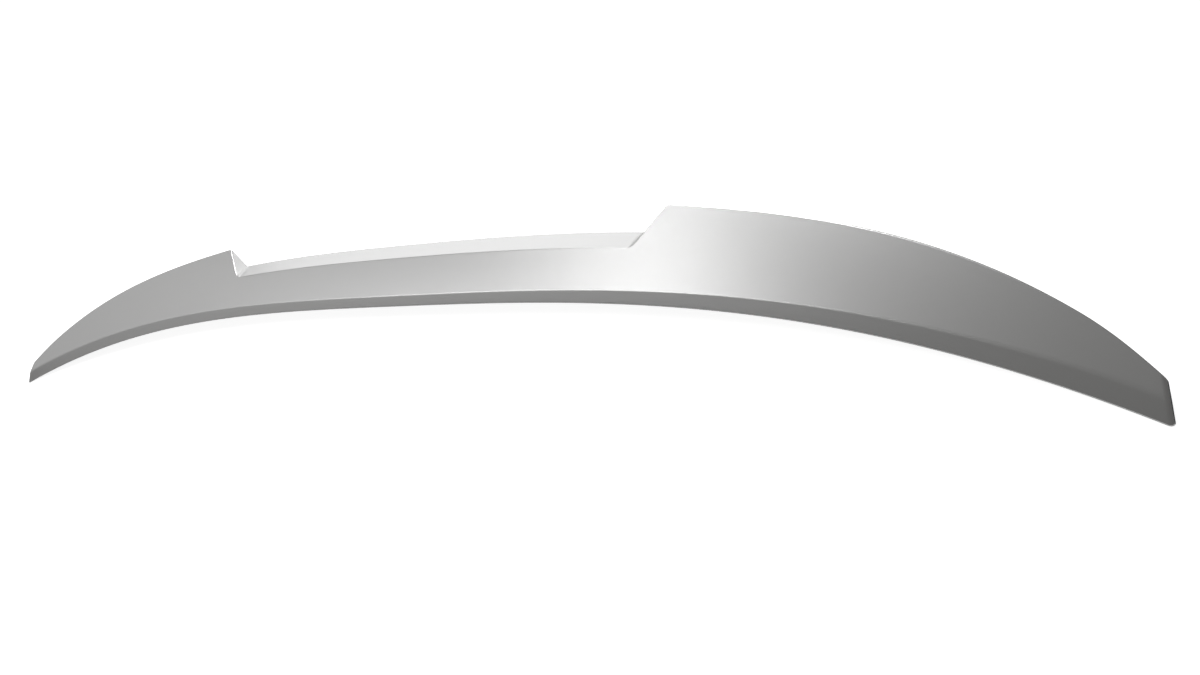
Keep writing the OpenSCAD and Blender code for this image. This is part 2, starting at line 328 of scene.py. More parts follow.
class Moulding:
    """Cross-sections of the moulding, as [y, z] points on the plane of a place x."""

    def __init__(self, outline, section, edges, under):
        self.o, self.s, self.e, self.u = outline, section, edges, under
        self.half = outline.width / 2
        self.notch_x = section.notch_w / 2
        self.peak_x = self.notch_x + section.step_w
        self.back_x = self.notch_x + section.foot_flare
        self.hollow_x = self.half - under.solid_tip
        self.tape_x = self.half - under.tape_stop
        self.face_dir = heading(section.face_slope)
        self.top_turns = self.turns(self.plain_top, self.notch_x, edges.step_foot)
        self.back_turns = self.turns(self.plain_back, self.back_x, edges.flank_foot)
        self.step_turns = self.turns(self.up_step, self.notch_x, edges.step_foot)

    def down_wing(self, x):
        """How far down a wing x lies, from 0 at its peak to 1 at its tip."""
        return clamp((abs(x) - self.peak_x) / (self.half - self.peak_x))

    def up_step(self, x):
        """How far up a step x lies, from 0 at the ridge to 1 at the peak."""
        return clamp((abs(x) - self.notch_x) / (self.peak_x - self.notch_x))

    def edge_line(self, x):
        """The front edge on the boot lid, before the tips are rounded."""
        along = abs(x) / self.half
        return -Vector((
            self.o.tip_sweep * along ** self.o.sweep_power,
            self.o.tip_drop * along ** self.o.drop_power,
        ))

    def corner_in(self, x, r):
        """How far a rounded corner of radius r draws the outline in."""
        d = abs(x) - (self.half - r)
        return 0.0 if d <= 0 else r - math.sqrt(max(0.0, r * r - d * d))

    def tip_in(self, x):
        return self.corner_in(x, self.o.tip_r)

    def front(self, x):
        return self.edge_line(x) + Vector((self.tip_in(x), 0))

    def lean_in(self, x, y):
        """How far the leaning ends draw a point in, along the width."""
        share = clamp((abs(x) - self.hollow_x) / (self.half - self.hollow_x)) ** 2
        return math.copysign(share, x) * math.tan(self.o.end_angle) * (y - self.front(x).x)

    def crease(self, x):
        s = self.s
        along = abs(x) / self.half
        rise = Vector((0, s.edge_h - self.o.tip_fall * self.tip_in(x)))
        width = mix(s.bevel_w, s.bevel_tip_w, along ** 2)
        return self.edge_line(x) + rise + width * heading(s.bevel_angle)

    def ridge(self, x):
        s = self.s
        up = mix(s.notch_face, s.notch_side_face, (abs(x) / self.notch_x) ** 2)
        return self.crease(x) + self.face_dir * up

    def lip(self, x):
        s = self.s
        down = self.down_wing(x)
        up = mix(s.peak_face, s.tip_face, mix(down ** s.face_power, down, s.even_share))
        return self.crease(x) + self.face_dir * (up - self.corner_in(x, self.o.rear_tip_r))

    def plain_top(self, x):
        """Top edge of the face: the ridge, a straight step and the lip, with sharp turns."""
        if abs(x) <= self.notch_x:
            return self.ridge(x)
        if abs(x) >= self.peak_x:
            return self.lip(x)
        return mix(self.ridge(self.notch_x), self.lip(self.peak_x), self.up_step(x))

    def plain_back(self, x):
        """Rear edge of the top: the shelf's, one up the step's flank and the blunt lip's."""
        if abs(x) <= self.back_x:
            return self.shelf_end(x)
        if abs(x) >= self.peak_x:
            return self.lip_back(x)
        up = (abs(x) - self.back_x) / (self.peak_x - self.back_x)
        return mix(self.shelf_end(self.back_x), self.lip_back(self.peak_x), up)

    def turns(self, line, foot, fillet):
        """Place, half length and change of slope of a line's turns at a step's foot and peak."""
        h = 1e-5
        return [
            (at, reach, (line(at + h) - line(at)) / h - (line(at) - line(at - h)) / h)
            for at, reach in ((foot, fillet), (self.peak_x, self.e.step_peak))]

    def rounded(self, line, turns, x):
        """A line of the step with its two turns rounded."""
        value = line(x)
        for at, reach, turn in turns:
            t = abs(abs(x) - at) / reach
            if t < 1:
                value = value + turn * (reach * (1 - t) ** 2 / 4)
        return value

    def top(self, x):
        return self.rounded(self.plain_top, self.top_turns, x)

    def back(self, x):
        return self.rounded(self.plain_back, self.back_turns, x)

    def step(self, x):
        return self.rounded(self.up_step, self.step_turns, x)

    def shelf_end(self, x):
        """Rear edge of the shelf."""
        s = self.s
        n = min(abs(x), self.notch_x)
        shelf = Vector((math.cos(s.shelf_fall), -math.sin(s.shelf_fall))) * s.shelf_w
        return self.ridge(n) - self.edge_line(n) + self.edge_line(x) + shelf

    def share(self, x):
        """How much of its thickness and softness the lip has."""
        return mix(1, self.e.tip_soft, self.down_wing(x))

    def lip_back(self, x):
        """Rear edge of the blunt lip, square to the main face."""
        return self.lip(x) + inward(self.face_dir) * (self.s.lip_t * self.share(x))

    def undercut_end(self, x):
        """Where the undercut below the lip meets the rear wall."""
        s = self.s
        down = self.down_wing(x)
        return self.lip(x) - Vector((
            mix(s.lip_overhang, s.tip_overhang, down), mix(s.lip_h, s.tip_lip_h, down)))

    def hollow_back(self, x):
        """Line below which the moulding is hollow."""
        return mix(self.shelf_end(x), self.undercut_end(x), self.step(x))

    def rear_foot(self, x):
        return Vector((self.hollow_back(x).x - self.s.rear_rake, self.edge_line(x).y))

    def knee(self, x):
        """Bottom of the undercut, and a point of the notch's straight rear wall."""
        wall = mix(self.shelf_end(x), self.rear_foot(x), self.s.knee_share)
        return mix(wall, self.undercut_end(x), self.step(x))

    def outside(self, x):
        """From the front edge's foot over the top to the rear wall's foot."""
        e = self.e
        share = self.share(x)
        foot = self.front(x)
        edge = foot + Vector((0, self.s.edge_h))
        crease, top, back = self.crease(x), self.top(x), self.back(x)
        knee, rear = self.knee(x), self.rear_foot(x)
        lip_soft = mix(e.peak_soft, e.lip_soft, clamp(2 * self.down_wing(x))) * share
        lip_soft = mix(e.ridge_soft, lip_soft, self.step(x))
        crease_soft = mix(e.crease_soft, e.crease_tip_soft, self.down_wing(x) ** 2)
        # Each rounding with the number of strips on the flat after it
        turns = (
            (soft(foot, edge, crease, e.front_soft, 5), 3),
            (soft(edge, crease, top, crease_soft, 6), 6),
            (soft(crease, top, back, lip_soft, 10), 5),
            (soft(top, back, knee, e.back_soft * share, 8), 4),
            (soft(back, knee, rear, e.knee_soft * share, 8), 3),
            (soft(knee, rear, mix(rear, foot, 0.02), e.foot_soft * share, 4), 0),
        )
        # The lowest band of the front edge is left without paint: painted shade where it meets the
        # floor
        shade_band = Vector((0, e.painted_shade_edge))
        points = [foot, foot + shade_band * FULL_SHADE_SHARE, foot + shade_band]
        for (turn, steps), following in zip(turns, turns[1:] + ((None, 0),)):
            points += turn
            if steps:
                points += self.filling(turn, following[0], steps)
        return points

    def filling(self, before, after, steps):
        """Points between two roundings, close ones at its ends to keep the flats flat."""
        a, b = before[-1], after[0]
        guard = min(GUARD_W / max((b - a).length, 1e-6), GUARD_SHARE)
        first, last = mix(a, b, guard), mix(a, b, 1 - guard)
        return [first] + between(first, last, steps) + [last]

    def inner(self, a, b, c):
        """The corner b of the skin's inner side, one wall in from the outer side."""
        u, v = (b - a).normalized(), (c - b).normalized()
        wall = self.u.wall
        return meet(b + wall * inward(u), u, b + wall * inward(v), v)

    def roof(self, x, y):
        """The hollow's roof above the place y."""
        through = self.crease(x) + self.u.wall * inward(self.face_dir)
        return meet(Vector((y, 0)), Vector((0, 1)), through, self.face_dir)

    def front_land_y(self, x):
        return self.edge_line(x).x + self.u.front_land

    def rear_land_y(self, x):
        return self.rear_foot(x).x - self.u.rear_land

    def hollow(self, x):
        """The hollow's outline from the rear land to the front land, round the middle rib."""
        u = self.u
        z = self.edge_line(x).y
        y = (self.front_land_y(x) + self.rear_land_y(x)) / 2
        root = u.rib_t / 2 + u.rib_draft
        crease, top, below = self.crease(x), self.plain_top(x), self.hollow_back(x)
        back = self.inner(top, below, self.rear_foot(x))
        high = self.inner(crease, top, below)
        rear_root, front_root = self.roof(x, y + root), self.roof(x, y - root)
        rib_rear = Vector((y + u.rib_t / 2, z + u.mid_rib_gap))
        rib_front = Vector((y - u.rib_t / 2, z + u.mid_rib_gap))
        land = Vector((self.front_land_y(x), z))
        lean = Vector((math.sin(u.draft), math.cos(u.draft)))
        front = meet(land, lean, self.roof(x, 0), self.face_dir)
        start = Vector((self.rear_land_y(x), z + u.channel_d))
        return (
            soft(start, back, high, SKIN_SOFT, 3) + soft(back, high, rear_root, SKIN_SOFT, 3)
            + soft(high, rear_root, rib_rear, ROOT_SOFT, 3)
            + soft(rear_root, rib_rear, rib_front, RIB_SOFT, 2)
            + soft(rib_rear, rib_front, front_root, RIB_SOFT, 2)
            + soft(rib_front, front_root, front, ROOT_SOFT, 3)
            + soft(front_root, front, land, SKIN_SOFT, 3)
        )

    def filled(self, x, height):
        """The same stretch where a solid tip fills the hollow."""
        n = len(self.hollow(0.0)) + 1
        z = self.edge_line(x).y + height
        rear, front = self.rear_land_y(x), self.front_land_y(x)
        return [Vector((mix(rear, front, i / n), z)) for i in range(1, n)]

    def rim_points(self, edge_y, z, side):
        """Inner side of a rim, with side 1 at the front and -1 at the rear."""
        u = self.u
        return [
            Vector((edge_y + side * u.rim, z)),
            Vector((edge_y + side * (u.rim + u.rib_draft), z + u.channel_d)),
        ]

    def underside(self, x):
        """From the rear wall's foot back to the front edge's foot."""
        u = self.u
        rear, z = self.rear_foot(x), self.edge_line(x).y
        if abs(x) > self.tape_x:
            n = len(self.hollow(0.0)) + RIM_POINTS + 1
            start = self.outside(x)[-1]
            return [mix(start, self.front(x), i / n) for i in range(1, n)]
        fill = self.hollow(x) if abs(x) < self.hollow_x else self.filled(x, u.channel_d)
        return (
            self.rim_points(rear.x, z, -1)
            + [Vector((self.rear_land_y(x), z + u.channel_d))]
            + fill
            + [Vector((self.front_land_y(x), z + u.channel_d))]
            + self.rim_points(self.edge_line(x).x, z, 1)[::-1]
        )

    def places(self):
        """Places of the cross-sections, in order along the width."""
        e, u = self.e, self.u
        tip_r, r = self.o.tip_r, max(self.o.tip_r, self.o.rear_tip_r)
        right = steps(0, self.notch_x - e.step_foot, NOTCH_PITCH)
        right += steps(self.notch_x - e.step_foot, self.back_x + e.step_foot, FOOT_PITCH)
        right += steps(self.back_x + e.step_foot, self.peak_x - e.step_peak, STEP_PITCH)
        right += steps(self.peak_x - e.step_peak, self.peak_x + e.step_peak, PEAK_PITCH)
        right += steps(self.peak_x + e.step_peak, self.half - r, WING_PITCH)
        right += steps(self.half - r, self.half - tip_r, TIP_PITCH)
        for i in range(TIP_TURNS + 1):
            right.append(self.half - tip_r * (1 - math.sin(math.pi / 2 * i / TIP_TURNS)))
        walls = [self.hollow_x - u.rib_draft, self.hollow_x, self.tape_x, self.tape_x + u.rib_draft]
        right = walls + [x for x in right if min(abs(x - w) for w in walls) > WALL_SPACE]
        return sorted(set(right + [-x for x in right]))


def steps(a, b, pitch):
    """Evenly spaced places from a up to b, with b left out."""
    n = max(1, round((b - a) / pitch))
    return [mix(a, b, i / n) for i in range(n)]


def loft(name, form, at, sections, paint_and_shade=None):
    """A closed solid through cross-sections, made straight along the boot lid's edge line."""
    m, n = len(sections[0]), len(sections)
    ends = [(at[i], sum(sections[i], Vector((0, 0))) / m) for i in (0, n - 1)]
    points = []
    for x, p in [(x, p) for x, section in zip(at, sections) for p in section] + ends:
        x -= form.lean_in(x, p.x)
        line = form.edge_line(x)
        points.append((x, p.x - line.x, p.y - line.y))
    first, second = n * m, n * m + 1
    faces = [(first, (j + 1) % m, j) for j in range(m)]
    faces += [(second, (n - 1) * m + j, (n - 1) * m + (j + 1) % m) for j in range(m)]
    for i in range(n - 1):
        for j in range(m):
            k = (j + 1) % m
            faces.append((i * m + j, i * m + k, (i + 1) * m + k, (i + 1) * m + j))
    mesh = bpy.data.meshes.new(name)
    mesh.from_pydata(points, [], faces)
    if paint_and_shade:
        layer = mesh.attributes.new(COVER_WITH_SHADE, "FLOAT", "POINT")
        layer.data.foreach_set("value", paint_and_shade + [0.0, 0.0])
    mesh.update()
    piece = bpy.data.objects.new(name, mesh)
    bpy.context.scene.collection.objects.link(piece)
    return piece


def new_tree(name, kind, sockets_in, sockets_out):
    """A node tree with named sockets. Each socket is (name, type, default)."""
    tree = bpy.data.node_groups.new(name, kind)
    for direction, sockets in (("INPUT", sockets_in), ("OUTPUT", sockets_out)):
        for label, socket_type, default in sockets:
            socket = tree.interface.new_socket(
                name=label, in_out=direction, socket_type="NodeSocket" + socket_type)
            if default is not None:
                socket.default_value = default
    return tree


class Wiring:
    """Adds nodes to a tree and links them."""

    def __init__(self, tree):
        self.tree = tree

    def add(self, kind, inputs=None, **settings):
        """A node whose inputs are given by name or number, as values or as sockets to link."""
        node = self.tree.nodes.new(kind)
        for key, value in settings.items():
            setattr(node, key, value)
        for key, value in (inputs or {}).items():
            self.feed(node.inputs[key], value)
        return node

    def feed(self, socket, value):
        if isinstance(value, bpy.types.NodeSocket):
            self.tree.links.new(value, socket)
        else:
            socket.default_value = value

    def maths(self, operation, *values):
        """The result of a Math node."""
        node = self.add("ShaderNodeMath", operation=operation)
        for socket, value in zip(node.inputs, values):
            self.feed(socket, value)
        return node.outputs[0]

    def blend(self, factor, a, b, **settings):
        """The result of a Mix node between two colours."""
        inputs = {MIX_FACTOR: factor, MIX_A: a, MIX_B: b}
        return self.add(
            "ShaderNodeMix", inputs, data_type="RGBA", **settings).outputs[MIX_RESULT]


LENGTH_SOCKETS = (
    ("Half Width", "Float", 0.59),
    ("Tip Sweep", "Float", 0.084),
    ("Tip Drop", "Float", 0.016),
    ("Sweep Power", "Float", 2.9),
    ("Drop Power", "Float", 4.0),
)


def boot_lid_line():
    """Node group that gives how far the boot lid's edge is swept forward and dropped at a place."""
    name = "Boot Lid Line"
    if name in bpy.data.node_groups:
        return bpy.data.node_groups[name]
    tree = new_tree(
        name, "GeometryNodeTree", (("Position", "Vector", None),) + LENGTH_SOCKETS,
        (("Offset", "Vector", None),))
    w = Wiring(tree)
    given = w.add("NodeGroupInput")
    x = w.add("ShaderNodeSeparateXYZ", {0: given.outputs["Position"]}).outputs[0]
    along = w.maths("DIVIDE", w.maths("ABSOLUTE", x), given.outputs["Half Width"])
    sweep = w.maths("POWER", along, given.outputs["Sweep Power"])
    drop = w.maths("POWER", along, given.outputs["Drop Power"])
    forward = w.maths("MULTIPLY", sweep, w.maths("MULTIPLY", given.outputs["Tip Sweep"], -1.0))
    down = w.maths("MULTIPLY", drop, w.maths("MULTIPLY", given.outputs["Tip Drop"], -1.0))
    offset = w.add("ShaderNodeCombineXYZ", {1: forward, 2: down})
    w.add("NodeGroupOutput", {0: offset.outputs[0]})
    return tree


def line_offset(w, given, position):
    """The boot lid line's offset at a position, inside another tree."""
    group = w.add("GeometryNodeGroup", node_tree=boot_lid_line())
    w.feed(group.inputs["Position"], position)
    for label, _, _ in LENGTH_SOCKETS:
        w.feed(group.inputs[label], given.outputs[label])
    return group.outputs["Offset"]


def bend_tree():
    """Geometry Nodes that bend a straight piece along the boot lid's edge."""
    name = "Bend Along Boot Lid"
    if name in bpy.data.node_groups:
        return bpy.data.node_groups[name]
    tree = new_tree(
        name, "GeometryNodeTree",
        (("Geometry", "Geometry", None),) + LENGTH_SOCKETS + (("Finish", "Material", None),),
        (("Geometry", "Geometry", None),))
    w = Wiring(tree)
    given = w.add("NodeGroupInput")
    place = w.add("GeometryNodeInputPosition")
    offset = line_offset(w, given, place.outputs[0])
    bent = w.add("GeometryNodeSetPosition", {
        "Geometry": given.outputs["Geometry"], "Offset": offset})
    real = w.add("GeometryNodeRealizeInstances", {0: bent.outputs[0]})
    dressed = w.add("GeometryNodeSetMaterial", {
        "Geometry": real.outputs[0], "Material": given.outputs["Finish"]})
    w.add("NodeGroupOutput", {0: dressed.outputs[0]})
    return tree


def ribs_tree():
    """Geometry Nodes that space ribs along the hollow and raise each one up to the skin."""
    name = "Cross Ribs"
    if name in bpy.data.node_groups:
        return bpy.data.node_groups[name]
    tree = new_tree(
        name, "GeometryNodeTree",
        (("Geometry", "Geometry", None), ("Shell", "Object", None), ("Count", "Int", 17),
         ("Hollow Half", "Float", 0.546), ("Thickness", "Float", 0.002), ("Draft", "Float", 0.0003),
         ("Gap", "Float", 0.003), ("Middle", "Float", 0.018), ("Bite", "Float", 0.001))
        + LENGTH_SOCKETS + (("Finish", "Material", None),),
        (("Geometry", "Geometry", None),))
    w = Wiring(tree)
    given = w.add("NodeGroupInput")
    get = given.outputs
    blank = w.add("GeometryNodeMeshCube", {"Size": (1, 1, 1), "Vertices X": 2, "Vertices Y": 20,
                                           "Vertices Z": 2})
    marked = w.add("GeometryNodeCaptureAttribute", {"Geometry": blank.outputs["Mesh"]})
    marked.capture_items.new("VECTOR", "Blank Place")
    w.feed(marked.inputs["Blank Place"], w.add("GeometryNodeInputPosition").outputs[0])
    gaps = w.maths("ADD", get["Count"], 1)
    pitch = w.maths("DIVIDE", w.maths("MULTIPLY", get["Hollow Half"], 2.0), gaps)
    start = w.maths("SUBTRACT", pitch, get["Hollow Half"])
    row = w.add("GeometryNodeMeshLine", {
        "Count": get["Count"],
        "Start Location": w.add("ShaderNodeCombineXYZ", {0: start}).outputs[0],
        "Offset": w.add("ShaderNodeCombineXYZ", {0: pitch}).outputs[0]})
    placed = w.add("GeometryNodeInstanceOnPoints", {
        "Points": row.outputs[0], "Instance": marked.outputs["Geometry"]})
    real = w.add("GeometryNodeRealizeInstances", {0: placed.outputs[0]})
    here = w.add("ShaderNodeSeparateXYZ", {0: w.add("GeometryNodeInputPosition").outputs[0]})
    own = w.add("ShaderNodeSeparateXYZ", {0: marked.outputs["Blank Place"]})
    middle_x = w.maths("SUBTRACT", here.outputs[0], own.outputs[0])
    rise = w.maths("ADD", own.outputs[2], 0.5)
    thick = w.maths("MULTIPLY_ADD", rise, w.maths("MULTIPLY", get["Draft"], 2.0), get["Thickness"])
    x = w.maths("MULTIPLY_ADD", own.outputs[0], thick, middle_x)
    flat = w.add("ShaderNodeCombineXYZ", {0: middle_x})
    line = w.add("ShaderNodeSeparateXYZ", {0: line_offset(w, given, flat.outputs[0])})
    low = w.maths("ADD", line.outputs[2], get["Gap"])
    probe_y = w.maths("ADD", line.outputs[1], get["Middle"])
    probe_z = w.maths("ADD", low, PROBE_RISE)
    probe = w.add("ShaderNodeCombineXYZ", {0: middle_x, 1: probe_y, 2: probe_z}).outputs[0]
    shell = w.add("GeometryNodeObjectInfo", {"Object": get["Shell"]}).outputs["Geometry"]

    def hit(source, direction):
        ray = w.add("GeometryNodeRaycast", {"Target Geometry": shell, "Source Position": source,
                                            "Ray Direction": direction, "Ray Length": RAY_REACH})
        return w.add("ShaderNodeSeparateXYZ", {0: ray.outputs["Hit Position"]}).outputs

    rear_y = hit(probe, (0, 1, 0))[1]
    front_y = hit(probe, (0, -1, 0))[1]
    share = w.maths("ADD", own.outputs[1], 0.5)
    span = w.maths("SUBTRACT", rear_y, front_y)
    inside_y = w.maths("MULTIPLY_ADD", share, span, front_y)
    bite_y = w.maths("MULTIPLY", own.outputs[1], w.maths("MULTIPLY", get["Bite"], 2.0))
    y = w.maths("ADD", inside_y, bite_y)
    inner_share = w.maths("MULTIPLY_ADD", share, 1 - 2 * END_SHARE, END_SHARE)
    held = w.maths("MULTIPLY_ADD", inner_share, span, front_y)
    under = w.add("ShaderNodeCombineXYZ", {0: middle_x, 1: held, 2: low}).outputs[0]
    roof = w.maths("ADD", hit(under, (0, 0, 1))[2], get["Bite"])
    z = w.maths("MULTIPLY_ADD", rise, w.maths("SUBTRACT", roof, low), low)
    place = w.add("ShaderNodeCombineXYZ", {0: x, 1: y, 2: z})
    shaped = w.add("GeometryNodeSetPosition", {
        "Geometry": real.outputs[0], "Position": place.outputs[0]})
    whole = w.add("GeometryNodeRealizeInstances", {0: shaped.outputs[0]})
    dressed = w.add("GeometryNodeSetMaterial", {
        "Geometry": whole.outputs[0], "Material": get["Finish"]})
    w.add("NodeGroupOutput", {0: dressed.outputs[0]})
    return tree


def grow(piece, tree, values):
    """Runs a Geometry Nodes tree on a piece and leaves a plain mesh."""
    modifier = piece.modifiers.new(tree.name, "NODES")
    modifier.node_group = tree
    for item in tree.interface.items_tree:
        if item.item_type == "SOCKET" and item.in_out == "INPUT" and item.name in values:
            modifier[item.identifier] = values[item.name]
    graph = bpy.context.evaluated_depsgraph_get()
    mesh = bpy.data.meshes.new_from_object(
        piece.evaluated_get(graph), preserve_all_data_layers=True, depsgraph=graph)
    mesh.name = piece.name
    piece.modifiers.clear()
    piece.data = mesh
    return mesh


def smooth(mesh):
    """Smooth shading, with strong turns kept crisp."""
    mesh.shade_smooth()
    mesh.set_sharp_from_angle(angle=math.radians(CRISP_ABOVE))


def line_values(outline):
    """The boot lid line's inputs."""
    return {
        "Half Width": outline.width / 2, "Tip Sweep": outline.tip_sweep,
        "Tip Drop": outline.tip_drop, "Sweep Power": outline.sweep_power,
        "Drop Power": outline.drop_power,
    }


def moulding(scene):
    """The moulding's cross-sections, from the sizes in the scene."""
    return Moulding(
        scene.spoiler_outline, scene.spoiler_section, scene.spoiler_edges, scene.spoiler_underside)


def grain_group():
    """Shader group for the fine waviness and grain of a moulded or sprayed surface."""
    name = "Fine Grain"
    if name in bpy.data.node_groups:
        return bpy.data.node_groups[name]
    tree = new_tree(
        name, "ShaderNodeTree",
        (("Scale", "Float", 900.0), ("Wave Scale", "Float", 60.0), ("Wave Share", "Float", 0.4)),
        (("Height", "Float", None), ("Speckle", "Float", None)))
    w = Wiring(tree)
    given = w.add("NodeGroupInput")
    place = w.add("ShaderNodeTexCoord").outputs["Object"]
    fine = w.add("ShaderNodeTexNoise", {
        "Vector": place, "Scale": given.outputs["Scale"], "Detail": 2.0, "Roughness": 0.6})
    wave = w.add("ShaderNodeTexNoise", {
        "Vector": place, "Scale": given.outputs["Wave Scale"], "Detail": 1.0})
    height = w.add("ShaderNodeMix", {
        "Factor": given.outputs["Wave Share"], "A": fine.outputs[0], "B": wave.outputs[0]})
    w.add("NodeGroupOutput", {0: height.outputs[0], 1: fine.outputs[0]})
    return tree


def grain(w, scale, wave_scale, wave_share):
    """The grain group placed in a material, with its own values."""
    return w.add("ShaderNodeGroup", {
        "Scale": scale, "Wave Scale": wave_scale, "Wave Share": wave_share},
        node_tree=grain_group()).outputs


def shade(base, share):
    """A colour made darker or lighter."""
    return (*[c * share for c in base], 1)


def new_material(name):
    """An empty material, its wiring, its shader and its output."""
    material = bpy.data.materials.new(name)
    material.use_nodes = True
    material.node_tree.nodes.clear()
    w = Wiring(material.node_tree)
    shader = w.add("ShaderNodeBsdfPrincipled")
    w.add("ShaderNodeOutputMaterial", {"Surface": shader.outputs[0]})
    return material, w, shader


def painted_moulding(finish):
    """Satin silver-grey paint outside, thinning to bare plastic on the underside; the same dark
    plastic low on the front edge and round the end faces is painted shade.
    """
    material, w, shader = new_material("satin_silver_paint")
    paint_and_shade = w.add("ShaderNodeAttribute", attribute_name=COVER_WITH_SHADE).outputs["Fac"]
    spray = grain(w, 2600.0, 45.0, 0.35)
    # Paint against bare plastic: real on the underside, painted shade low on the front edge and
    # round the ends
    paint_and_shade_mask = w.add("ShaderNodeMapRange", {
        "Value": w.maths("ADD", paint_and_shade, w.maths("MULTIPLY_ADD", spray["Speckle"], 0.5, -0.25)),
        "From Min": 0.3, "From Max": 0.62}).outputs[0]
    tint = w.add("ShaderNodeMapRange", {
        "Value": spray["Speckle"], "To Min": 0.97, "To Max": 1.03}).outputs[0]
    paint = w.blend(1.0, (*finish.paint, 1), tint, blend_type="MULTIPLY")
    w.feed(shader.inputs["Base Color"], w.blend(paint_and_shade_mask, (*finish.plastic, 1), paint))
    w.feed(shader.inputs["Metallic"], w.maths("MULTIPLY", paint_and_shade_mask, finish.paint_metal))
    rough = w.maths("MULTIPLY_ADD", spray["Speckle"], 0.06, finish.paint_rough - 0.03)
    w.feed(shader.inputs["Roughness"], w.add("ShaderNodeMix", {
        "Factor": paint_and_shade_mask, "A": 0.55, "B": rough}).outputs[0])
    bump = w.add("ShaderNodeBump", {"Height": spray["Height"], "Strength": 0.02, "Distance": 0.001})
    w.feed(shader.inputs["Normal"], bump.outputs[0])
    return material


def bare_plastic(finish):
    """Moulded plastic of the ribs, with a fine grain."""
    material, w, shader = new_material("bare_plastic")
    moulded = grain(w, 1800.0, 80.0, 0.3)
    w.feed(shader.inputs["Base Color"], w.blend(
        moulded["Speckle"], shade(finish.plastic, 0.8), shade(finish.plastic, 1.3)))
    w.feed(shader.inputs["Roughness"], w.maths("MULTIPLY_ADD", moulded["Speckle"], 0.2, 0.42))
    bump = w.add("ShaderNodeBump", {
        "Height": moulded["Height"], "Strength": 0.15, "Distance": 0.0004})
    w.feed(shader.inputs["Normal"], bump.outputs[0])
    return material


def foam(finish):
    """Closed-cell foam of the tape, with small pores."""
    material, w, shader = new_material("foam_tape")
    cells = grain(w, 3200.0, 300.0, 0.5)
    w.feed(shader.inputs["Base Color"], w.blend(
        cells["Speckle"], shade(finish.foam, 0.6), shade(finish.foam, 1.4)))
    w.feed(shader.inputs["Roughness"], w.maths("MULTIPLY_ADD", cells["Speckle"], 0.15, 0.75))
    bump = w.add("ShaderNodeBump", {"Height": cells["Height"], "Strength": 0.4, "Distance": 0.0005})
    w.feed(shader.inputs["Normal"], bump.outputs[0])
    return material


def held_in(piece, slot, *nodes):
    """Hands a finished piece to the frame."""
    if nodes:
        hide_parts(*nodes)
    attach(piece, "root")


class SPOILER_OT_shell(Operator):
    """Make the painted moulding in one closed skin."""

    bl_idname = "spoiler.make_shell"
    bl_label = "Make Shell"

    def execute(self, context):
        scene = context.scene
        m = moulding(scene)
        at = m.places()
        sections, paint_and_shade = [], []
        for x in at:
            out, low = m.outside(x), m.underside(x)
            sections.append(out + low)
            paint_and_shade += self.paint_and_shade(m, x, len(out), len(low))
        shell = loft("spoiler_shell", m, at, sections, paint_and_shade)
        values = line_values(scene.spoiler_outline)
        values["Finish"] = painted_moulding(scene.spoiler_finish)
        smooth(grow(shell, bend_tree(), values))
        held_in(shell, "painted_shell", "spoiler_body")
        return {"FINISHED"}

    def paint_and_shade(self, m, x, outside, underside):
        """How much paint each point of a cross-section has: none in the hollow and a spray border
        round the underside, and none low on the front edge and on the end faces' rims, which is
        painted shade."""
        # The end faces' rims get no paint: painted shade
        if abs(x) > m.half - m.e.painted_shade_end:
            return [0.0] * (outside + underside)
        if abs(x) > m.tape_x:
            low = [(1 - i / underside) ** SPRAY_FADE for i in range(underside)]
        else:
            low = SPRAY_BORDER + [0.0] * (underside - len(SPRAY_BORDER))
        # The two lowest points of the front edge get no paint: painted shade
        return [0.0, 0.0] + [1.0] * (outside - 2) + low


class SPOILER_OT_ribs(Operator):
    """Make the cross ribs inside the hollow underside."""

    bl_idname = "spoiler.make_ribs"
    bl_label = "Make Cross Ribs"

    def execute(self, context):
        scene = context.scene
        under = scene.spoiler_underside
        m = moulding(scene)
        ribs = bpy.data.objects.new("cross_ribs", bpy.data.meshes.new("cross_ribs"))
        scene.collection.objects.link(ribs)
        values = line_values(scene.spoiler_outline)
        values.update({
            "Shell": bpy.data.objects["spoiler_shell"], "Count": under.rib_count,
            "Hollow Half": m.hollow_x, "Thickness": under.rib_t, "Draft": under.rib_draft,
            "Gap": under.rib_gap, "Finish": bare_plastic(scene.spoiler_finish)})
        smooth(grow(ribs, ribs_tree(), values))
        held_in(ribs, "painted_shell")
        return {"FINISHED"}


class SPOILER_OT_tape(Operator):
    """Make the two strips of foam tape in their channels."""

    bl_idname = "spoiler.make_tape"
    bl_label = "Make Foam Tape"

    def execute(self, context):
        scene = context.scene
        under = scene.spoiler_underside
        m = moulding(scene)
        end = m.tape_x - under.tape_gap
        at = [-end] + [x for x in m.places() if abs(x) < end - TAPE_END_SPACE] + [end]
        at = at[::2] if len(at) % 2 else at[:-1:2] + [end]
        inset = under.rim + under.rib_draft + under.tape_gap
        material = foam(scene.spoiler_finish)
        strips = (
            ("front_tape_strip", "front_tape", lambda x: m.edge_line(x).x + inset,
             under.front_tape_w),
            ("rear_tape_strip", "rear_tape",
             lambda x: m.rear_foot(x).x - inset - under.rear_tape_w, under.rear_tape_w),
        )
        for name, node, start, width in strips:
            sections = []
            for x in at:
                high = m.edge_line(x).y + under.channel_d
                low = high - under.tape_t
                y = start(x)
                sections.append(rounded_strip(y, y + width, low, high, TAPE_SOFT))
            strip = loft(name, m, at, sections)
            values = line_values(scene.spoiler_outline)
            values["Finish"] = material
            smooth(grow(strip, bend_tree(), values))
            held_in(strip, "foam_tape", node)
        return {"FINISHED"}


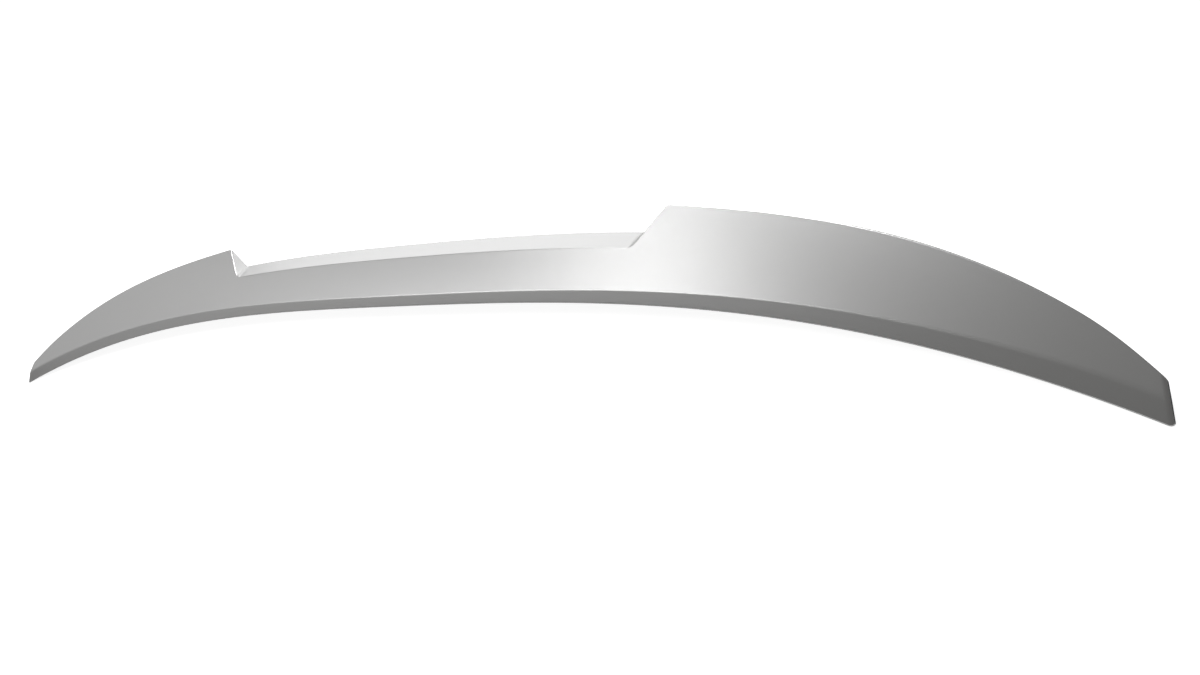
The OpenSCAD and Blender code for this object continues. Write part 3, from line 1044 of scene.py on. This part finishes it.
def rounded_strip(y0, y1, z0, z1, r):
    """Cross-section of a flat strip with small roundings."""
    corners = [Vector((y0, z0)), Vector((y0, z1)), Vector((y1, z1)), Vector((y1, z0))]
    points = []
    for i, b in enumerate(corners):
        points += soft(corners[i - 1], b, corners[(i + 1) % 4], r, 2)
    return points


class SPOILER_OT_studio(Operator):
    """Make the floor, the soft lights and the camera."""

    bl_idname = "spoiler.make_studio"
    bl_label = "Make Studio"

    def execute(self, context):
        scene = context.scene
        studio = scene.spoiler_studio
        self.floor(scene, studio)
        self.world(scene, studio)
        self.lights(scene, studio)
        self.camera(scene)
        scene.view_settings.view_transform = "Standard"
        return {"FINISHED"}

    def floor(self, scene, studio):
        r = studio.floor_w / 2
        mesh = bpy.data.meshes.new("studio_floor")
        mesh.from_pydata([(-r, -r, 0), (r, -r, 0), (r, r, 0), (-r, r, 0)], [], [(0, 1, 2, 3)])
        piece = bpy.data.objects.new("studio_floor", mesh)
        scene.collection.objects.link(piece)
        piece.location.z = CAD_BOX[0][2] - FLOOR_GAP
        material, w, shader = new_material("white_floor")
        path = w.add("ShaderNodeLightPath").outputs
        seen = w.maths("MAXIMUM", path["Is Camera Ray"], w.maths(
            "MAXIMUM", path["Is Glossy Ray"], path["Is Transmission Ray"]))
        w.feed(shader.inputs["Base Color"], FLOOR_COLOUR)
        w.feed(shader.inputs["Roughness"], 0.9)
        w.feed(shader.inputs["Specular IOR Level"], 0.0)
        w.feed(shader.inputs["Emission Color"], (1, 1, 1, 1))
        w.feed(shader.inputs["Emission Strength"], w.maths("MULTIPLY", seen, FLOOR_GLOW))
        mesh.materials.append(material)

    def world(self, scene, studio):
        world = bpy.data.worlds.new("soft_surroundings")
        world.use_nodes = True
        back = world.node_tree.nodes["Background"]
        back.inputs["Color"].default_value = SKY_COLOUR
        back.inputs["Strength"].default_value = studio.world
        scene.world = world

    def lights(self, scene, studio):
        for name, turn, rise, width, height, watts in SOFT_LIGHTS:
            soft_light(name, turn, rise, studio.reach, width, height, watts * studio.level)

    def camera(self, scene):
        data = bpy.data.cameras.new("photo_camera")
        data.sensor_width = CAMERA_SENSOR
        data.lens = CAMERA_LENS
        camera = bpy.data.objects.new("photo_camera", data)
        turn = Matrix(CAMERA_AXES).transposed().to_4x4()
        camera.matrix_world = Matrix.Translation(CAMERA_PLACE) @ turn
        scene.collection.objects.link(camera)
        scene.camera = camera


def soft_light(name, turn, rise, distance, width, height, power):
    """A soft light that faces the spoiler from a direction."""
    data = bpy.data.lights.new(name, "AREA")
    data.shape = "RECTANGLE"
    data.size, data.size_y = width, height
    data.energy = power
    light = bpy.data.objects.new(name, data)
    flat, up = math.radians(turn), math.radians(rise)
    towards = Vector((math.cos(up) * math.cos(flat), math.cos(up) * math.sin(flat), math.sin(up)))
    light.location = towards * distance
    light.rotation_euler = towards.to_track_quat("Z", "Y").to_euler()
    bpy.context.scene.collection.objects.link(light)


MAKERS = (SPOILER_OT_shell, SPOILER_OT_ribs, SPOILER_OT_tape, SPOILER_OT_studio)
GROUPS = {
    "spoiler_outline": SpoilerOutline,
    "spoiler_section": SpoilerSection,
    "spoiler_edges": SpoilerEdges,
    "spoiler_underside": SpoilerUnderside,
    "spoiler_finish": SpoilerFinish,
    "spoiler_studio": SpoilerStudio,
}


class SPOILER_PT_sidebar(Panel):
    """The spoiler's sizes and makers in the 3D view's sidebar."""

    bl_label = "Boot Lid Spoiler"
    bl_idname = "SPOILER_PT_sidebar"
    bl_space_type = "VIEW_3D"
    bl_region_type = "UI"
    bl_category = "Spoiler"

    def draw(self, context):
        layout = self.layout
        for maker in MAKERS:
            layout.operator(maker.bl_idname)
        for name, group in GROUPS.items():
            box = layout.box()
            box.label(text=group.__name__.replace("Spoiler", ""))
            for prop in group.__annotations__:
                box.prop(getattr(context.scene, name), prop)


def register():
    for name, group in GROUPS.items():
        bpy.utils.register_class(group)
        setattr(bpy.types.Scene, name, PointerProperty(type=group))
    for maker in MAKERS + (SPOILER_PT_sidebar,):
        bpy.utils.register_class(maker)


def unregister():
    for maker in (SPOILER_PT_sidebar,) + MAKERS[::-1]:
        bpy.utils.unregister_class(maker)
    for name, group in GROUPS.items():
        delattr(bpy.types.Scene, name)
        bpy.utils.unregister_class(group)


def main():
    register()
    bpy.ops.spoiler.make_shell()
    bpy.ops.spoiler.make_ribs()
    bpy.ops.spoiler.make_tape()
    bpy.ops.spoiler.make_studio()


if __name__ == "__main__":
    main()
